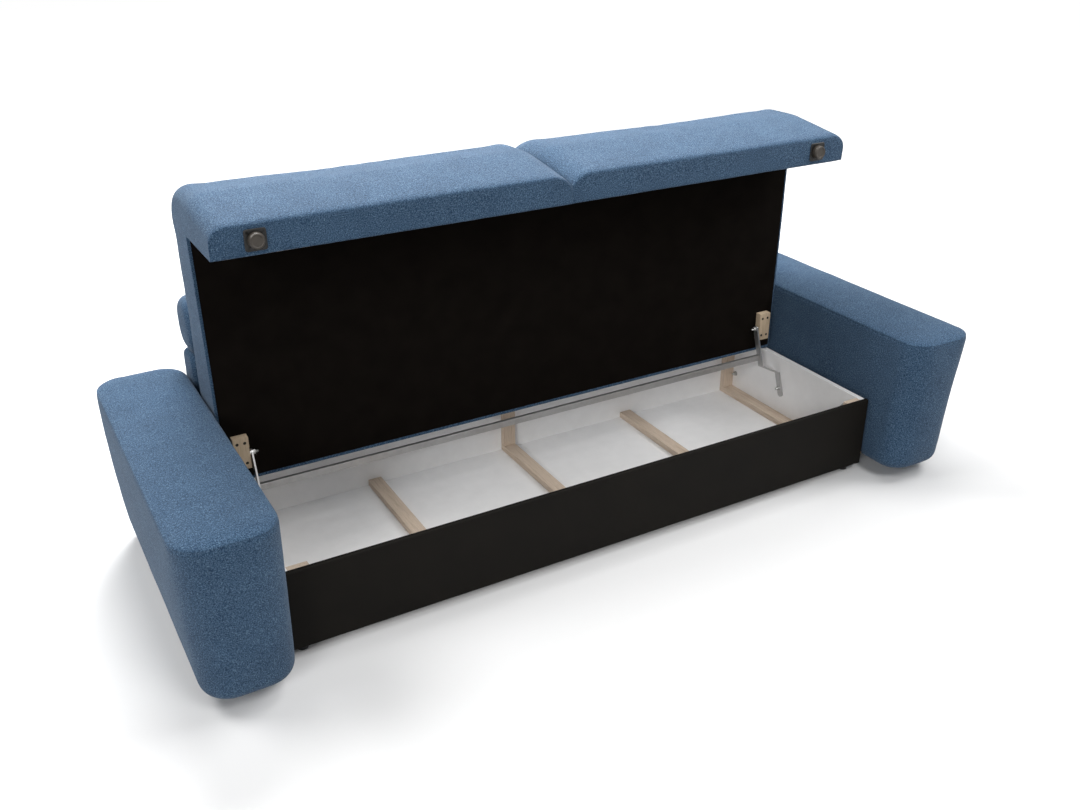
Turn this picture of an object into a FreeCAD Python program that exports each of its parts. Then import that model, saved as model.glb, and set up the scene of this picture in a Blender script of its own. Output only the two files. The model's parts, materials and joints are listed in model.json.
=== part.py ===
import FreeCAD, Part
import math
import os

os.makedirs("parts", exist_ok=True)
Vec = FreeCAD.Vector

# Storage box, measured from its front face (y) and from the floor (z)
box_width = 2000.0
box_depth = 706.0
foot_height = 30.0
panel_height = 239.5
panel_thickness = 16.0
panel_edge_round = 6.0
wall_thickness = 18.0
wall_drop = 3.5
floor_thickness = 3.0
batten_width = 45.0
batten_thickness = 21.0
batten_pitch = 495.0
post_drop = 4.0
corner_block_width = 58.0
corner_block_drop = 1.0
foot_radius = 15.0
foot_inset = 38.0

# Fasteners: M8 bolts, washers and nuts, and wood screws
bolt_radius = 4.0
static_clearance = 0.15
running_clearance = 0.06
washer_radius = 9.0
washer_thickness = 1.6
nut_across = 13.0
nut_height = 6.5
thread_past_nut = 9.0
bolt_head_depth = 4.0
arm_bolt_front_y = 86.0
arm_bolt_rear_inset = 54.0
arm_bolt_low_rise = 79.0
arm_bolt_high_drop = 51.0
screw_radius = 2.0
screw_head_radius = 3.8
screw_head_depth = 1.2
screw_sink = 2.6

# Lift linkage, in the open pose
pivot_from_rear = 304.5
pivot_rise = 122.0
lever_width = 22.0
lever_thickness = 5.0
lever_lean = 71.0
lever_low_length = 57.0
lever_high_length = 137.0
lever_tail = 22.0
lever_wall_gap = 2.0
lever_offset = 54.0
bar_height = 21.0
bar_depth = 12.0
bar_wall = 1.5
bar_drop = 102.5
bar_lead = 27.0

# Raised seat: s runs from its rear edge to its front, h from its black face into the box
seat_face_from_rear = 197.0
seat_clearance = 3.0
seat_overhang = 4.0
seat_front_lead = 164.0
seat_thickness = 206.0
seat_rear_round = 80.0
seat_front_round = 150.0
seat_lip = 8.0
seat_lip_round = 6.0
seat_end_bevel = 12.0
seam_gap = 1.0
soft_gap = 0.3
cover_thickness = 1.0
seat_board_thickness = 18.0
seat_board_inset = 21.0
apron_board_thickness = 16.0
apron_gap = 43.0
apron_floor_gap = 22.5
apron_board_rise = 9.0
apron_belly_drop = 40.0
apron_belly_round = 60.0
apron_tip_inset = 36.0
apron_tip_round = 30.0
closed_rise = 1.0
block_width = 45.0
block_length = 100.0
block_thickness = 24.0
block_start = 50.0
block_screw_side = 11.5
block_screw_end = 18.0
seat_pivot_s = 93.0
seat_pivot_h = 12.0
glide_plate = 56.0
glide_plate_thickness = 3.0
glide_plate_inset = 108.0
glide_radius = 21.0
glide_height = 16.0
glide_bevel = 3.0

# Arms
arm_gap = 12.0
arm_width = 260.0
arm_foot_taper = 22.0
arm_front_lead = 166.0
arm_low_front_lead = 141.0
arm_rear_past_box = 174.0
arm_low_rear_inset = 8.0
arm_base_z = 44.0
arm_seam_z = 501.0
arm_crown = 14.0
arm_crown_inset = 45.0
arm_corner = 80.0
arm_crown_corner = 53.0
arm_board_thickness = 18.0
arm_board_margin = 14.0
arm_board_rise = 24.0

# Back rest
back_gap = 46.0
back_depth = 122.0
back_base_z = 50.0
back_clearance = 9.0
back_split_z = 575.0
back_end_bevel = 8.0
back_low_round = 16.0
back_top_round = 36.0
back_top_z = 747.0
back_board_set_in = 48.0
back_board_thickness = 20.0
back_board_cover = 35.0
roll_front_overhang = 30.0
roll_rear_overhang = 10.0
roll_low_round = 55.0
roll_top_round = 78.0
roll_end_bevel = 15.0
bearer_height = 45.0
bearer_drop = 6.0

# Places worked out from the sizes
half_box = box_width / 2
inner_half = half_box - wall_thickness
base_z = foot_height
panel_top_z = base_z + panel_height
wall_top_z = panel_top_z - wall_drop
floor_top_z = base_z + floor_thickness
batten_top_z = floor_top_z + batten_thickness
rear_inner_y = box_depth - wall_thickness
hole_radius = bolt_radius + static_clearance
sink_radius = washer_radius + 2 * static_clearance
lean = math.radians(lever_lean)
lever_way = (math.cos(lean), math.sin(lean))
pivot_y = box_depth - pivot_from_rear
pivot_z = base_z + pivot_rise
seat_face_y = box_depth - seat_face_from_rear
seat_rear_z = wall_top_z + seat_clearance
seat_pivot_y = seat_face_y - seat_pivot_h
seat_pivot_z = seat_rear_z + seat_pivot_s
seat_half = half_box + seat_overhang
board_half = half_box - seat_board_inset
lever_outer_x = inner_half - lever_wall_gap - lever_thickness
lever_inner_x = lever_outer_x - lever_offset
block_x1 = inner_half - lever_wall_gap - lever_thickness
block_x0 = block_x1 - block_width
back_front_y = box_depth + back_gap
back_rear_y = back_front_y + back_depth
back_board_y0 = back_front_y + back_board_set_in
back_board_y1 = back_board_y0 + back_board_thickness
overall_depth = arm_front_lead + back_rear_y + roll_rear_overhang
shift_y = arm_front_lead - overall_depth / 2

# Where the seat comes to rest when it is closed
lever_length = math.hypot(seat_pivot_y - pivot_y, seat_pivot_z - pivot_z)
closed_face_z = panel_top_z + closed_rise
closed_pivot_z = closed_face_z - seat_pivot_h
closed_reach = math.sqrt(lever_length ** 2 - (closed_pivot_z - pivot_z) ** 2)
closed_rear_y = pivot_y + closed_reach + seat_pivot_s
open_angle = math.degrees(math.atan2(seat_pivot_z - pivot_z, seat_pivot_y - pivot_y))
closed_angle = math.degrees(math.atan2(closed_pivot_z - pivot_z, closed_reach))
print("lever swings", round(open_angle - closed_angle, 3), "degrees")
print("lever pivot y z", round(pivot_y + shift_y, 3), pivot_z)
print("seat pivot y z", round(seat_pivot_y + shift_y, 3), seat_pivot_z)


def box(x0, x1, y0, y1, z0, z1):
    return Part.makeBox(x1 - x0, y1 - y0, z1 - z0, Vec(x0, y0, z0))


def rod(x0, x1, y, z, r):
    return Part.makeCylinder(r, x1 - x0, Vec(x0, y, z), Vec(1, 0, 0))


def polygon_yz(points, x):
    corners = [Vec(x, y, z) for y, z in points]
    return Part.makePolygon(corners + [corners[0]])


def extrude_x(wire, length):
    return Part.Face(wire).extrude(Vec(length, 0, 0))


def circle_points(y, z, r, sides):
    turn = 2 * math.pi / sides
    return [(y + r * math.cos(turn * k), z + r * math.sin(turn * k)) for k in range(sides)]


def peg(x0, x1, y, z, r, sides=12):
    # Small round piece along x with few faces
    return extrude_x(polygon_yz(circle_points(y, z, r, sides), x0), x1 - x0)


def peg_y(x, y0, y1, z, r, sides=12):
    # The same along y
    corners = [Vec(x + p, y0, z + q) for p, q in circle_points(0, 0, r, sides)]
    wire = Part.makePolygon(corners + [corners[0]])
    return Part.Face(wire).extrude(Vec(0, y1 - y0, 0))


def washer(x0, x1, y, z, r):
    return peg(x0, x1, y, z, r).cut(peg(x0 - 1, x1 + 1, y, z, hole_radius))


def nut(x0, y, z):
    body = peg(x0, x0 + nut_height, y, z, nut_across / math.sqrt(3), 6)
    return body.cut(peg(x0 - 1, x0 + nut_height + 1, y, z, hole_radius))


def rounded_wire(points, radii):
    # Closed outline of straight runs whose corners are rounded by tangent arcs
    count = len(points)
    starts = []
    ends = []
    arcs = []
    for i in range(count):
        here = points[i]
        back = (points[i - 1] - here).normalize()
        ahead = (points[(i + 1) % count] - here).normalize()
        half = back.getAngle(ahead) / 2
        reach = radii[i] / math.tan(half)
        starts.append(here + back * reach)
        ends.append(here + ahead * reach)
        middle = (back + ahead).normalize()
        apex = here + middle * (radii[i] / math.sin(half) - radii[i])
        arcs.append(Part.Arc(starts[i], apex, ends[i]).toShape())
    edges = []
    for i in range(count):
        edges.append(arcs[i])
        edges.append(Part.makeLine(ends[i], starts[(i + 1) % count]))
    return Part.Wire(edges)


def end_edges(shape, planes):
    # Edges that lie wholly on the given end planes
    found = []
    for edge in shape.Edges:
        low, high = edge.BoundBox.XMin, edge.BoundBox.XMax
        if any(abs(low - x) < 0.01 and abs(high - x) < 0.01 for x in planes):
            found.append(edge)
    return found


def mirrored(shape):
    return shape.mirror(Vec(0, 0, 0), Vec(1, 0, 0))


def both(*right_shapes):
    return list(right_shapes) + [mirrored(s) for s in right_shapes]


def export(name, *solids):
    shape = solids[0] if len(solids) == 1 else Part.makeCompound(list(solids))
    shape = shape.copy()
    shape.translate(Vec(0, shift_y, 0))
    shape.exportStep("parts/" + name + ".step")


def export_pair(name, right_shape):
    export(name + "_right", right_shape)
    export(name + "_left", mirrored(right_shape))


def seat_point(s, h):
    return seat_face_y - h, seat_rear_z + s


def seat_box(x0, x1, s0, s1, h0, h1):
    y0, z0 = seat_point(s0, h1)
    y1, z1 = seat_point(s1, h0)
    return box(x0, x1, y0, y1, z0, z1)


# Front panel, covered in cloth that rounds its top edge
panel = box(-half_box, half_box, 0, panel_thickness, base_z, panel_top_z)
top_edges = [e for e in panel.Edges
             if abs(e.BoundBox.ZMin - panel_top_z) < 0.01 and e.BoundBox.XLength > 1]
export("front_panel", panel.makeFillet(panel_edge_round, top_edges))

# Side walls with holes for the arms' bolts and the lever
bolt_rows = (base_z + arm_bolt_low_rise, wall_top_z - arm_bolt_high_drop)
bolt_places = [(y, z) for y in (arm_bolt_front_y, box_depth - arm_bolt_rear_inset) for z in bolt_rows]
wall = box(inner_half, half_box, panel_thickness, box_depth, base_z, wall_top_z)
for y, z in bolt_places + [(pivot_y, pivot_z)]:
    wall = wall.cut(peg(inner_half - 1, half_box + 1, y, z, hole_radius))
pivot_head_x = half_box - bolt_head_depth - 2 * static_clearance
wall = wall.cut(peg(pivot_head_x, half_box + 1, pivot_y, pivot_z, sink_radius))
export_pair("side_wall", wall)

# Rear wall and floor
export("rear_wall", box(-inner_half, inner_half, rear_inner_y, box_depth, base_z, wall_top_z))
export("floor_panel", box(-inner_half, inner_half, panel_thickness, rear_inner_y, base_z, floor_top_z))

# Battens across the floor and posts up the rear wall
edge_batten_x = inner_half - batten_width / 2
batten_places = {
    "left": -edge_batten_x,
    "centre_left": -batten_pitch,
    "centre": 0.0,
    "centre_right": batten_pitch,
    "right": edge_batten_x,
}
post_y = rear_inner_y - batten_thickness
for name, x in batten_places.items():
    x0 = x - batten_width / 2
    x1 = x + batten_width / 2
    export("floor_batten_" + name, box(x0, x1, panel_thickness, rear_inner_y, floor_top_z, batten_top_z))
    if name in ("left", "centre", "right"):
        post = box(x0, x1, post_y, rear_inner_y, batten_top_z, wall_top_z - post_drop)
        export("rear_post_" + name, post)

# Front corner blocks
export_pair("corner_block", box(inner_half - corner_block_width, inner_half, panel_thickness,
                                panel_thickness + batten_thickness, batten_top_z,
                                wall_top_z - corner_block_drop))

# Feet
for name, y in (("front", foot_inset), ("rear", box_depth - foot_inset)):
    corners = [Vec(half_box - foot_inset + p, y + q, 0) for p, q in circle_points(0, 0, foot_radius, 20)]
    foot = Part.Face(Part.makePolygon(corners + [corners[0]])).extrude(Vec(0, 0, foot_height))
    export_pair("foot_" + name, foot)

# Arm boards with the bolts, washers and nuts that hold the arms
arm_board_x1 = half_box + arm_board_thickness
arm_board_y1 = box_depth - arm_board_margin
arm_board_z0 = base_z + arm_board_rise
arm_board_z1 = wall_top_z - arm_board_margin
arm_board = box(half_box, arm_board_x1, arm_board_margin, arm_board_y1, arm_board_z0, arm_board_z1)
arm_head_x = arm_board_x1 - bolt_head_depth
washer_x = inner_half - washer_thickness
bolts = []
nuts = []
for y, z in bolt_places:
    arm_board = arm_board.cut(peg(half_box - 1, arm_board_x1 + 1, y, z, hole_radius))
    arm_board = arm_board.cut(peg(arm_head_x, arm_board_x1 + 1, y, z, sink_radius))
    shank = peg(washer_x - nut_height - thread_past_nut, arm_head_x + 1, y, z, bolt_radius)
    bolts.append(shank.fuse(peg(arm_head_x, arm_board_x1, y, z, washer_radius)))
    nuts.append(washer(washer_x, inner_half, y, z, washer_radius))
    nuts.append(nut(washer_x - nut_height, y, z))
export_pair("arm_board", arm_board)
export("arm_bolts", *both(*bolts))
export("arm_nuts", *both(*nuts))

# Arm pads: lofted from the base to the top seam, then over a low crown
arm_inner_x = half_box + arm_gap
arm_outer_x = arm_inner_x + arm_width
arm_rear_y = box_depth + arm_rear_past_box


def arm_section(inner, outer, front, rear, z, corner):
    points = [Vec(inner, front, z), Vec(outer, front, z), Vec(outer, rear, z), Vec(inner, rear, z)]
    return rounded_wire(points, [corner] * 4)


low = arm_section(arm_inner_x, arm_outer_x - arm_foot_taper, -arm_low_front_lead,
                  arm_rear_y - arm_low_rear_inset, arm_base_z, arm_corner)
seam = arm_section(arm_inner_x, arm_outer_x, -arm_front_lead, arm_rear_y, arm_seam_z, arm_corner)
crown = arm_section(arm_inner_x + arm_crown_inset, arm_outer_x - arm_crown_inset,
                    arm_crown_inset - arm_front_lead, arm_rear_y - arm_crown_inset,
                    arm_seam_z + arm_crown, arm_crown_corner)
arm_pad = Part.makeLoft([low, seam], True, True).fuse(Part.makeLoft([seam, crown], True, True))
pocket = box(arm_inner_x - 1, arm_board_x1 + soft_gap, arm_board_margin - soft_gap,
             arm_board_y1 + soft_gap, arm_board_z0 - soft_gap, arm_board_z1 + soft_gap)
export_pair("arm_pad", arm_pad.removeSplitter().cut(pocket))

# Lever pivots on the side walls
pivot_nut_x = lever_outer_x - 2 * static_clearance - nut_height
pivot_bolt = rod(pivot_nut_x - thread_past_nut, pivot_head_x + 1, pivot_y, pivot_z, bolt_radius)
pivot_head = peg(pivot_head_x, half_box - static_clearance, pivot_y, pivot_z, washer_radius)
pivot_spacer = washer(inner_half - lever_wall_gap + 2 * static_clearance, inner_half,
                      pivot_y, pivot_z, washer_radius)
export("lever_pivots", *both(pivot_bolt.fuse(pivot_head)))
export("lever_pivot_nuts", *both(pivot_spacer, nut(pivot_nut_x, pivot_y, pivot_z)))


# Levers: a flat strip cranked sideways between the wall and the seat block
def along(place, distance):
    return place[0] + lever_way[0] * distance, place[1] + lever_way[1] * distance


def strip_section(x0, place):
    half = lever_width / 2
    dy = lever_way[1] * half
    dz = lever_way[0] * half
    corners = [Vec(x0, place[0] - dy, place[1] + dz),
               Vec(x0 + lever_thickness, place[0] - dy, place[1] + dz),
               Vec(x0 + lever_thickness, place[0] + dy, place[1] - dz),
               Vec(x0, place[0] + dy, place[1] - dz)]
    return Part.makePolygon(corners + [corners[0]])


def strip(x0, start, x1, end):
    return Part.makeLoft([strip_section(x0, start), strip_section(x1, end)], True, True)


pivot = (pivot_y, pivot_z)
seat_pivot = (seat_pivot_y, seat_pivot_z)
tail = along(pivot, -lever_tail)
low_end = along(pivot, lever_low_length)
high_start = along(seat_pivot, -lever_high_length)
lever = strip(lever_outer_x, tail, lever_outer_x, low_end)
lever = lever.fuse(strip(lever_outer_x, low_end, lever_inner_x, high_start))
lever = lever.fuse(strip(lever_inner_x, high_start, lever_inner_x, seat_pivot))
lever = lever.fuse(rod(lever_outer_x, lever_outer_x + lever_thickness, *tail, lever_width / 2))
lever = lever.fuse(rod(lever_inner_x, lever_inner_x + lever_thickness, *seat_pivot, lever_width / 2))
lever = lever.removeSplitter()
lever_hole = bolt_radius + running_clearance
lever = lever.cut(rod(lever_outer_x - 1, inner_half, pivot_y, pivot_z, lever_hole))
lever = lever.cut(rod(lever_inner_x - 1, lever_outer_x - 1, seat_pivot_y, seat_pivot_z, lever_hole))
export_pair("lever", lever)

# Cross bar between the levers, a rectangular tube
bar_y = seat_pivot_y - bar_lead
bar_z = seat_pivot_z - bar_drop
hollow_y = bar_depth / 2 - bar_wall
hollow_z = bar_height / 2 - bar_wall
bar = box(-lever_inner_x, lever_inner_x, bar_y - bar_depth / 2, bar_y + bar_depth / 2,
          bar_z - bar_height / 2, bar_z + bar_height / 2)
export("cross_bar", bar.cut(box(-lever_inner_x - 1, lever_inner_x + 1, bar_y - hollow_y, bar_y + hollow_y,
                                bar_z - hollow_z, bar_z + hollow_z)))

# Seat board, apron board and their black cover
apron_inner_s = closed_rear_y + apron_gap
apron_board_s0 = apron_inner_s + cover_thickness
apron_board_s1 = apron_board_s0 + apron_board_thickness
apron_drop = closed_face_z - apron_floor_gap
apron_board_h = apron_drop - apron_board_rise
board_top_h = -cover_thickness - seat_board_thickness
seat_board = seat_box(-board_half, board_half, seat_lip, apron_board_s1, board_top_h, -cover_thickness)
apron_board = seat_box(-board_half, board_half, apron_board_s0, apron_board_s1,
                       -cover_thickness, apron_board_h)
cover = seat_box(-board_half, board_half, seat_lip, apron_board_s0, -cover_thickness, 0)
cover = cover.fuse(seat_box(-board_half, board_half, apron_inner_s, apron_board_s0, 0, apron_board_h))
export("seat_board", seat_board)
export("apron_board", apron_board)
export("seat_cover", cover.removeSplitter())

# Seat pads, one on each side of the middle seam, over the boards and down the apron
seat_length = closed_rear_y + seat_front_lead
apron_tip_s = seat_length - apron_tip_inset
pad_corners = [(0, -seat_lip), (0, -seat_thickness), (seat_length, -seat_thickness),
               (seat_length, apron_belly_drop), (apron_tip_s, apron_drop), (apron_inner_s, apron_drop),
               (apron_inner_s, -seat_lip)]
pad_rounds = [seat_lip_round, seat_rear_round, seat_front_round, apron_belly_round, apron_tip_round,
              seat_lip_round, seat_lip_round]
pad_wire = rounded_wire([Vec(seam_gap / 2, *seat_point(s, h)) for s, h in pad_corners], pad_rounds)
pad = extrude_x(pad_wire, seat_half - seam_gap / 2)
pad = pad.makeChamfer(seat_end_bevel, end_edges(pad, [seat_half]))
board_room = seat_box(-1, board_half + soft_gap, seat_lip - soft_gap, apron_board_s1 + soft_gap,
                      board_top_h - soft_gap, 0)
apron_room = seat_box(-1, board_half + soft_gap, apron_inner_s - 1, apron_board_s1 + soft_gap,
                      -cover_thickness, apron_board_h + soft_gap)
export_pair("seat_pad", pad.cut(board_room).cut(apron_room))

# Wooden blocks under the seat that carry the levers
hinge_block = seat_box(block_x0, block_x1, block_start, block_start + block_length, 0, block_thickness)
sunk_y = seat_face_y - block_thickness + screw_sink
screws = []
for x in (block_x0 + block_screw_side, block_x1 - block_screw_side):
    for s in (block_start + block_screw_end, block_start + block_length - block_screw_end):
        z = seat_rear_z + s
        head_room = peg_y(x, sunk_y - screw_sink - 1, sunk_y, z, screw_head_radius + static_clearance)
        shaft_room = peg_y(x, sunk_y - 1, seat_face_y + 1, z, screw_radius + static_clearance, 8)
        hinge_block = hinge_block.cut(head_room).cut(shaft_room)
        head = peg_y(x, sunk_y - screw_head_depth, sunk_y, z, screw_head_radius)
        screws.append(head.fuse(peg_y(x, sunk_y - 1, seat_face_y, z, screw_radius, 8)))
hinge_block = hinge_block.cut(peg(block_x0 - 1, block_x1 + 1, seat_pivot_y, seat_pivot_z, hole_radius))
export_pair("hinge_block", hinge_block)
export("block_screws", *both(*screws))

# Pivot bolts through the blocks and the levers' upper ends
seat_washer_x = lever_inner_x - washer_thickness - 2 * static_clearance
seat_nut_x = seat_washer_x - nut_height
seat_bolt = rod(seat_nut_x - thread_past_nut, block_x1 - 1, seat_pivot_y, seat_pivot_z, bolt_radius)
seat_washer = washer(seat_washer_x, seat_washer_x + washer_thickness, seat_pivot_y, seat_pivot_z,
                     washer_radius)
seat_spacer = washer(lever_inner_x + lever_thickness + 2 * static_clearance, block_x0,
                     seat_pivot_y, seat_pivot_z, washer_radius)
export("seat_pivots", *both(seat_bolt))
export("seat_pivot_nuts", *both(nut(seat_nut_x, seat_pivot_y, seat_pivot_z), seat_washer, seat_spacer))

# Floor glides under the apron
glide_y, glide_z = seat_point((apron_inner_s + apron_tip_s) / 2, apron_drop)
glide_x = seat_half - glide_plate_inset
half_plate = glide_plate / 2
plate_y = glide_y - glide_plate_thickness
plate = box(glide_x - half_plate, glide_x + half_plate, plate_y, glide_y,
            glide_z - half_plate, glide_z + half_plate)
plate_edges = [e for e in plate.Edges if e.BoundBox.YLength > 1]
export_pair("glide_plate", plate.makeChamfer(glide_bevel, plate_edges))
glide = peg_y(glide_x, plate_y - glide_height, plate_y, glide_z, glide_radius, 20)
tip_edges = [e for e in glide.Edges if e.BoundBox.YMax < plate_y - glide_height + 0.01]
export_pair("glide", glide.makeChamfer(glide_bevel, tip_edges))

# Back rest: board, bearers, cushions and head rolls
back_board_top_z = back_split_z - back_board_cover
back_board = box(-board_half, board_half, back_board_y0, back_board_y1, back_base_z, back_board_top_z)
export("back_board", back_board)
for name, z in (("low", back_base_z), ("high", wall_top_z - bearer_height - bearer_drop)):
    bearer = box(-board_half, board_half, box_depth, back_board_y0, z, z + bearer_height)
    export("back_bearer_" + name, bearer)

cushion_z = wall_top_z + back_clearance
back_corners = [(back_front_y, cushion_z), (back_rear_y, cushion_z),
                (back_rear_y, back_split_z), (back_front_y, back_split_z)]
back_rounds = [back_low_round, back_low_round, back_top_round, back_top_round]
cushion = extrude_x(rounded_wire([Vec(seam_gap / 2, *p) for p in back_corners], back_rounds),
                    seat_half - seam_gap / 2)
cushion = cushion.makeChamfer(back_end_bevel, end_edges(cushion, [seat_half]))
skirt = box(seam_gap / 2, seat_half - back_end_bevel, back_board_y1 + soft_gap, back_rear_y,
            back_base_z, cushion_z + back_low_round + 1)
slot = box(-1, board_half + soft_gap, back_board_y0 - soft_gap, back_board_y1 + soft_gap,
           back_base_z - 1, back_board_top_z + soft_gap)
export_pair("back_cushion", cushion.fuse(skirt).removeSplitter().cut(slot))

roll_y0 = back_front_y - roll_front_overhang
roll_y1 = back_rear_y + roll_rear_overhang
roll_z0 = back_split_z + soft_gap
roll_corners = [(roll_y0, roll_z0), (roll_y1, roll_z0), (roll_y1, back_top_z), (roll_y0, back_top_z)]
roll_rounds = [roll_low_round, roll_low_round, roll_top_round, roll_top_round]
roll = extrude_x(rounded_wire([Vec(seam_gap / 2, *p) for p in roll_corners], roll_rounds),
                 seat_half - seam_gap / 2)
export_pair("head_roll", roll.makeChamfer(roll_end_bevel, end_edges(roll, [seam_gap / 2, seat_half])))
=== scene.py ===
import json
import math

import bmesh
import bpy
from mathutils import Matrix, Vector, noise

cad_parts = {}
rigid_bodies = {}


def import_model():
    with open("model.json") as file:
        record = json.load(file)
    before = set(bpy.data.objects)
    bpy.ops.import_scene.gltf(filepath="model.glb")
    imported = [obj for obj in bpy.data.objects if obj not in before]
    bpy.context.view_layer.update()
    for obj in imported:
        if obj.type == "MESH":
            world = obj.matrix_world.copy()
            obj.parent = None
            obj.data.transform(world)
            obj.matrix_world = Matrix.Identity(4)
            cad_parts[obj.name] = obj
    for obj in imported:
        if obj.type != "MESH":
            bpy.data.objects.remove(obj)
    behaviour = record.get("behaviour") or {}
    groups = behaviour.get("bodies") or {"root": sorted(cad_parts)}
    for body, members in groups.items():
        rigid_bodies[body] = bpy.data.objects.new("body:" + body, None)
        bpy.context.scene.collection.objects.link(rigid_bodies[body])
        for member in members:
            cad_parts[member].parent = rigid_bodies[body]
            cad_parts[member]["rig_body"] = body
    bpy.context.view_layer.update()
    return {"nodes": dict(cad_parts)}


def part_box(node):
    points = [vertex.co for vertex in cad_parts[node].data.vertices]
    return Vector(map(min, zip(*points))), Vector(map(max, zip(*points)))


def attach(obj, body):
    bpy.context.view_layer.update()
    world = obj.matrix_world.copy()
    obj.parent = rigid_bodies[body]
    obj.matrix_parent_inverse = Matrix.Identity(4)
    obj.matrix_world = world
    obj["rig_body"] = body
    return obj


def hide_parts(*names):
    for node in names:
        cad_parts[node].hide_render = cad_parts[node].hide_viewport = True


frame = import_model()
nodes = frame["nodes"]
scene = bpy.context.scene
sides = {"left": -1, "right": 1}


def mm(value):
    return value / 1000


def rise(value, start, over):
    # 0 up to start, then growing to 1 over a distance
    return min(1, max(0, (value - start) / over))


def unevenness(place):
    return noise.fractal(place, 1.0, 2.0, 3)


def bodyOf(nodeName):
    return nodes[nodeName]["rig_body"]


def link(name, mesh):
    piece = bpy.data.objects.new(name, mesh)
    scene.collection.objects.link(piece)
    return piece


def solid(name, verts, faces):
    # A closed shape with its faces turned outward
    mesh = bpy.data.meshes.new(name)
    mesh.from_pydata(verts, [], faces)
    work = bmesh.new()
    work.from_mesh(mesh)
    bmesh.ops.recalc_face_normals(work, faces=work.faces)
    work.to_mesh(mesh)
    work.free()
    return link(name, mesh)


def settle(piece):
    # The finished shape as a plain mesh
    mesh = bpy.data.meshes.new_from_object(piece.evaluated_get(bpy.context.evaluated_depsgraph_get()))
    mesh.name = piece.name
    piece.modifiers.clear()
    piece.data = mesh


def shadeSmooth(mesh, sharp=None):
    # Smooth shading, with edges above the sharp angle (degrees) kept
    for face in mesh.polygons:
        face.use_smooth = True
    if sharp:
        mesh.set_sharp_from_angle(angle=math.radians(sharp))


def paintWith(piece, finish):
    piece.data.materials.clear()
    piece.data.materials.append(finish)


def addNode(tree, kind, values=None, **settings):
    node = tree.nodes.new(kind)
    for name, value in settings.items():
        setattr(node, name, value)
    for name, value in (values or {}).items():
        if isinstance(value, bpy.types.NodeSocket):
            tree.links.new(value, node.inputs[name])
        else:
            node.inputs[name].default_value = value
    return node


def calc(tree, operation, first, second):
    return addNode(tree, "ShaderNodeMath", {0: first, 1: second}, operation=operation).outputs[0]


def mixOf(tree, first, share, second, otherShare):
    return calc(tree, "ADD", calc(tree, "MULTIPLY", first, share), calc(tree, "MULTIPLY", second, otherShare))


# Camera, where the photograph was taken from
cameraPlace = {"spot": (-1.5307, -2.6111, 1.8505), "yaw": 29.509, "pitch": 26.48, "roll": -0.176,
               "lens": 35.809}


def addCamera(place):
    yaw, pitch, roll = (math.radians(place[k]) for k in ("yaw", "pitch", "roll"))
    forward = Vector((math.sin(yaw) * math.cos(pitch), math.cos(yaw) * math.cos(pitch), -math.sin(pitch)))
    right = Vector((math.cos(yaw), -math.sin(yaw), 0))
    up = right.cross(forward)
    tiltedRight = right * math.cos(roll) + up * math.sin(roll)
    tiltedUp = up * math.cos(roll) - right * math.sin(roll)
    turn = Matrix((tiltedRight, tiltedUp, -forward)).transposed().to_4x4()
    data = bpy.data.cameras.new("camera")
    data.lens = place["lens"]
    data.sensor_width = 36
    data.clip_end = 100
    camera = bpy.data.objects.new("camera", data)
    camera.matrix_world = Matrix.Translation(place["spot"]) @ turn
    scene.collection.objects.link(camera)
    scene.camera = camera


# White studio: a floor, a world and soft lamps that all aim at one spot
studio = {"floorHalf": 16.0, "floorGrey": 0.8, "floorBounce": 0.7, "nearGlow": 0.01, "farGlow": 0.95,
          "nearReach": 1.6, "farReach": 4.2, "worldLevel": 0.07, "worldTint": (0.96, 0.98, 1, 1),
          "aim": (0, 0, 0.4)}
# Each lamp's place, size across and power
lamps = {"backLamp": ((-0.5, 1.6, 3.4), 1.6, 115.0),
         "frontLamp": ((0.3, -5.6, 7.0), 3.4, 235.0),
         "leftLamp": ((-5.8, -5.2, 3.7), 3.0, 215.0),
         "leftBackLamp": ((-2.6, 0.8, 3.0), 1.6, 58.0),
         "farLamp": ((0.3, 2.6, 2.6), 1.6, 100.0),
         "rightLamp": ((2.6, -1.0, 3.2), 1.6, 58.0),
         "topLamp": ((1.2, 0.0, 3.4), 1.4, 40.0)}


def seenDirectly(tree):
    # 1 for camera, glossy and transmission rays
    rays = tree.nodes.new("ShaderNodeLightPath").outputs
    both = calc(tree, "MAXIMUM", rays["Is Camera Ray"], rays["Is Glossy Ray"])
    return calc(tree, "MAXIMUM", both, rays["Is Transmission Ray"])


def addWorld(look):
    world = bpy.data.worlds.new("studio")
    scene.world = world
    world.use_nodes = True
    tree = world.node_tree
    tree.nodes.clear()
    seen = addNode(tree, "ShaderNodeBackground", {"Color": (1, 1, 1, 1), "Strength": 1})
    glow = addNode(tree, "ShaderNodeBackground", {"Color": look["worldTint"], "Strength": look["worldLevel"]})
    mix = addNode(tree, "ShaderNodeMixShader",
                  {0: seenDirectly(tree), 1: glow.outputs[0], 2: seen.outputs[0]})
    addNode(tree, "ShaderNodeOutputWorld", {0: mix.outputs[0]})


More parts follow.
